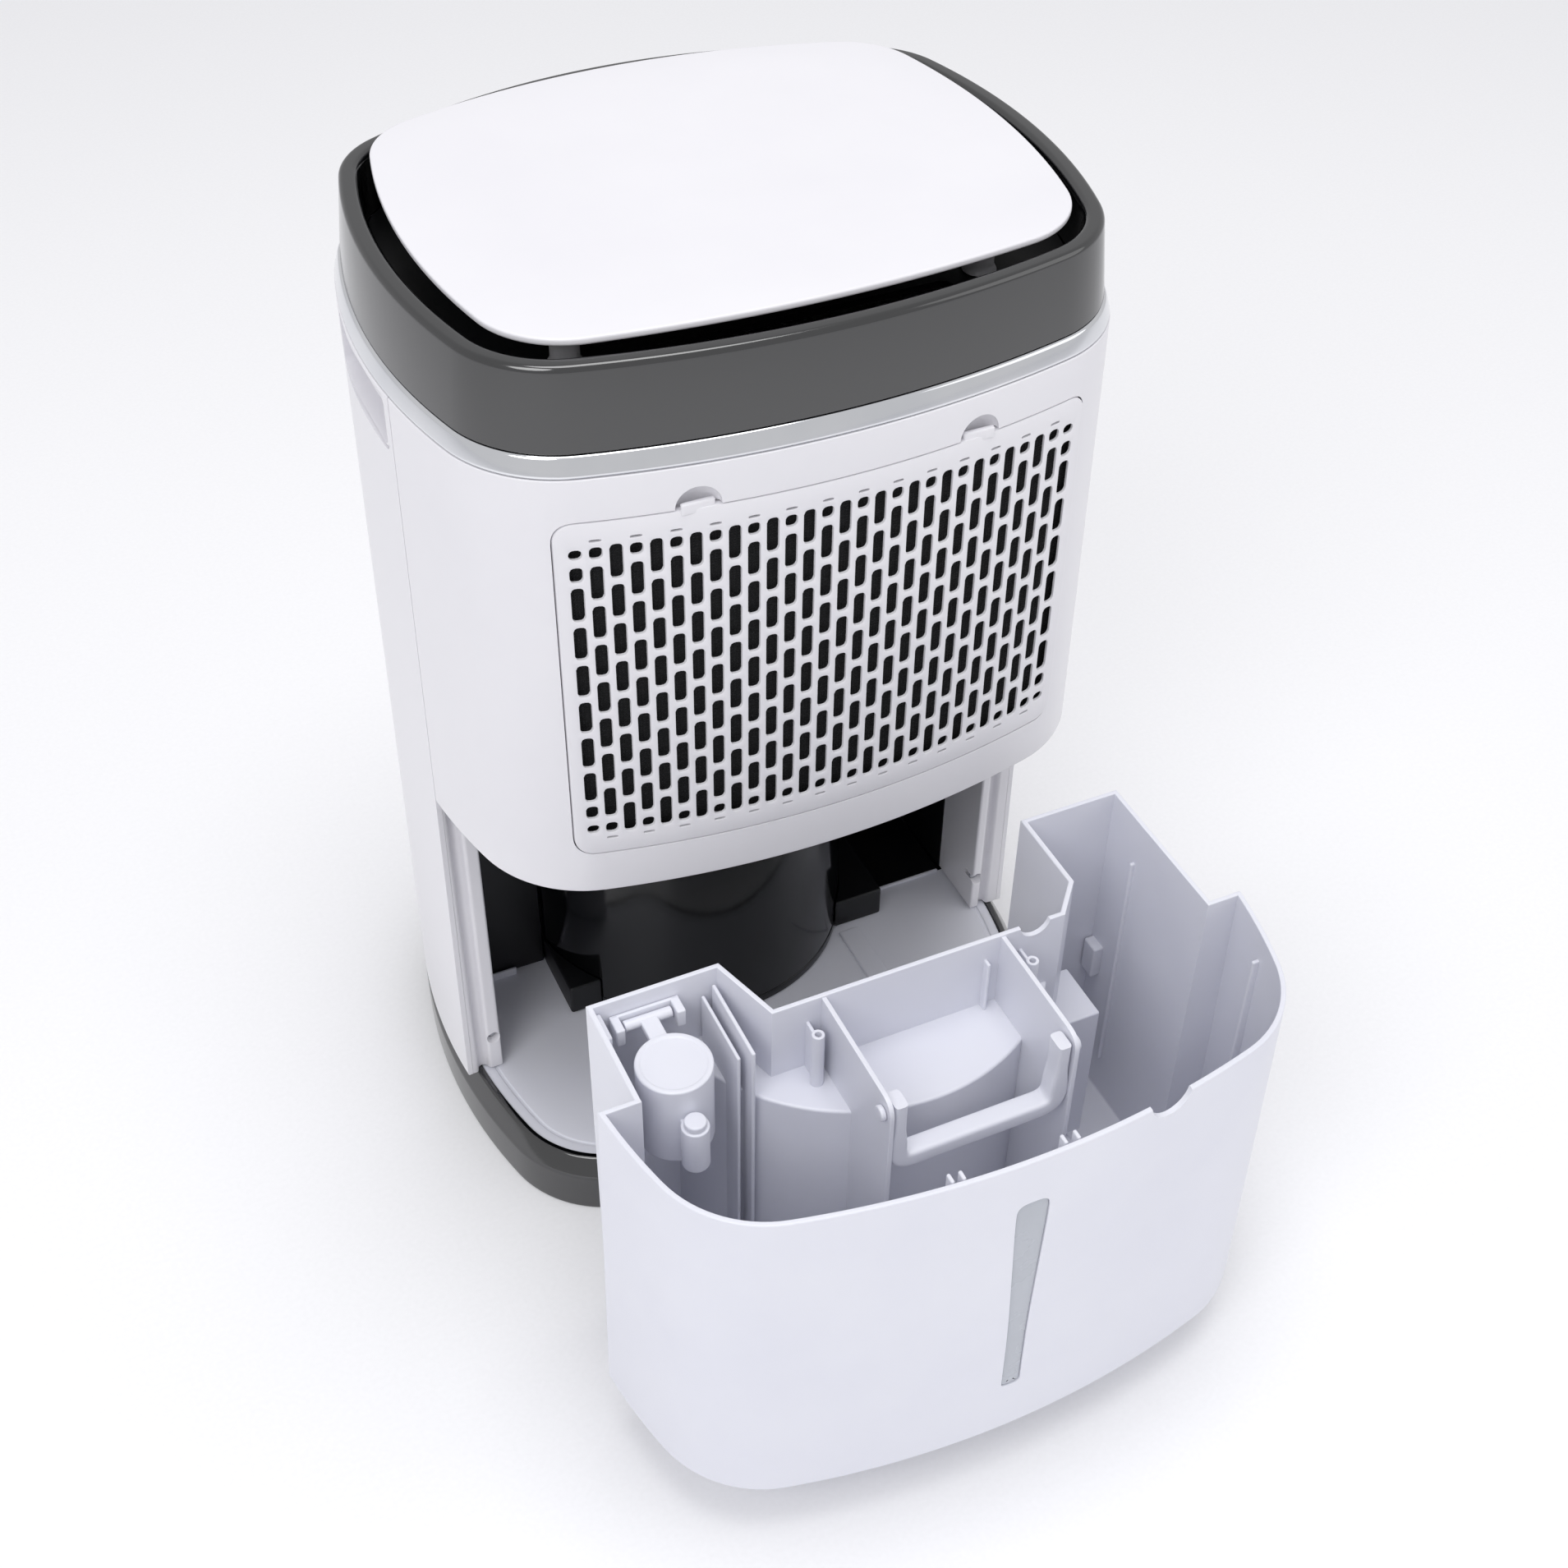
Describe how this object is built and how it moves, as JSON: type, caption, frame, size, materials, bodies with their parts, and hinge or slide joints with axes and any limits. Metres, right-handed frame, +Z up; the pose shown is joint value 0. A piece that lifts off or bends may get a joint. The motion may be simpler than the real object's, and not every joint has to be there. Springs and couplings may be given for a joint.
{
  "type": "dehumidifier",
  "caption": "Free-standing compressor dehumidifier with a rear pull-out water tank, slotted filter panel, glossy top band with a ring air outlet and a flat top plate.",
  "frame": {"origin": "centre of the base's underside, on the floor, below the middle of the body's width", "axes": "+Z up, +Y towards the rear, where the tank pulls out, and the control panel faces -Y"},
  "size_m": [0.3267, 0.4674, 0.5],
  "materials": {
    "white": "smooth satin-gloss moulded ABS",
    "moulded_white": "plain moulded polypropylene, slightly bluish",
    "gloss_black": "high-gloss piano black",
    "black": "black moulded plastic",
    "chrome": "bright plated strip",
    "rubber": "matt black rubber",
    "steel": "zinc-plated",
    "aluminium": "plain",
    "copper": "drawn copper tube and coppered fins",
    "dark_enamel": "black stove enamel",
    "board": "green solder mask",
    "display": "smoked clear lens",
    "filter": "open black mesh",
    "window": "grey translucent lens"
  },
  "bodies": {
    "housing": {"base_pan": "gloss_black", "tank_tray": "moulded_white", "foot_pad_1": "rubber", "foot_pad_2": "rubber", "foot_pad_3": "rubber", "foot_pad_4": "rubber", "front_cover": "white", "rear_cover": "white", "bay_side_left": "white", "bay_side_right": "white", "bay_screw_left": "steel", "bay_screw_right": "steel", "cord_gland": "black", "side_grip_left": "white", "side_grip_right": "white", "bay_wall_left": "black", "bay_wall_right": "black", "bay_header": "black", "mid_deck": "black", "compressor_cover": "gloss_black", "tank_switch_left": "black", "tank_switch_right": "black", "dome_tab": "moulded_white", "dome_screw": "steel", "chrome_trim": "chrome", "top_band": "gloss_black", "control_panel": "gloss_black", "display_lens": "display", "control_board": "board", "outlet_deck": "black", "top_plate": "white", "evaporator": "aluminium", "condenser": "copper", "drip_tray": "moulded_white", "fan_shroud": "black", "fan_motor": "dark_enamel", "motor_bracket": "black", "compressor": "dark_enamel", "compressor_mount_1": "rubber", "compressor_mount_2": "rubber", "compressor_mount_3": "rubber", "suction_pipe": "copper", "discharge_pipe": "copper", "run_capacitor": "aluminium", "power_board": "board"},
    "tank": {"tank_bucket": "moulded_white", "water_window": "window", "handle_pin_1": "moulded_white", "handle_pin_2": "moulded_white", "float_clip": "moulded_white"},
    "handle": {"tank_handle": "moulded_white"},
    "float": {"tank_float": "moulded_white", "float_magnet": "steel"},
    "fan": {"fan_wheel": "black"},
    "filter_panel": {"intake_grille": "white", "air_filter": "filter"},
    "button_1_body": {"button_1": "black"},
    "button_2_body": {"button_2": "black"},
    "button_3_body": {"button_3": "black"},
    "button_4_body": {"button_4": "black"}
  },
  "joints": [
    {"name": "tank_slide", "type": "slide", "parent": "housing", "child": "tank", "axis": [0, 1, 0], "range_m": [-0.198, 0]},
    {"name": "handle_hinge", "type": "hinge", "parent": "tank", "child": "handle", "pos_m": [0, 0.27, 0.218], "axis": [1, 0, 0], "range_deg": [0, 98]},
    {"name": "float_hinge", "type": "hinge", "parent": "tank", "child": "float", "pos_m": [0.114, 0.1815, 0.216], "axis": [1, 0, 0], "range_deg": [0, 8]},
    {"name": "fan_spin", "type": "hinge", "parent": "housing", "child": "fan", "pos_m": [0, 0.03, 0.342], "axis": [0, 1, 0], "continuous": true},
    {"name": "panel_pull", "type": "slide", "parent": "housing", "child": "filter_panel", "axis": [0, 1, 0], "range_m": [0, 0.045]},
    {"name": "button_1_press", "type": "slide", "parent": "housing", "child": "button_1_body", "axis": [0, 1, 0], "range_m": [0, 0.001], "stiffness_N_per_m": 300, "springref_m": -0.001},
    {"name": "button_2_press", "type": "slide", "parent": "housing", "child": "button_2_body", "axis": [0, 1, 0], "range_m": [0, 0.001], "stiffness_N_per_m": 300, "springref_m": -0.001},
    {"name": "button_3_press", "type": "slide", "parent": "housing", "child": "button_3_body", "axis": [0, 1, 0], "range_m": [0, 0.001], "stiffness_N_per_m": 300, "springref_m": -0.001},
    {"name": "button_4_press", "type": "slide", "parent": "housing", "child": "button_4_body", "axis": [0, 1, 0], "range_m": [0, 0.001], "stiffness_N_per_m": 300, "springref_m": -0.001}
  ]
}
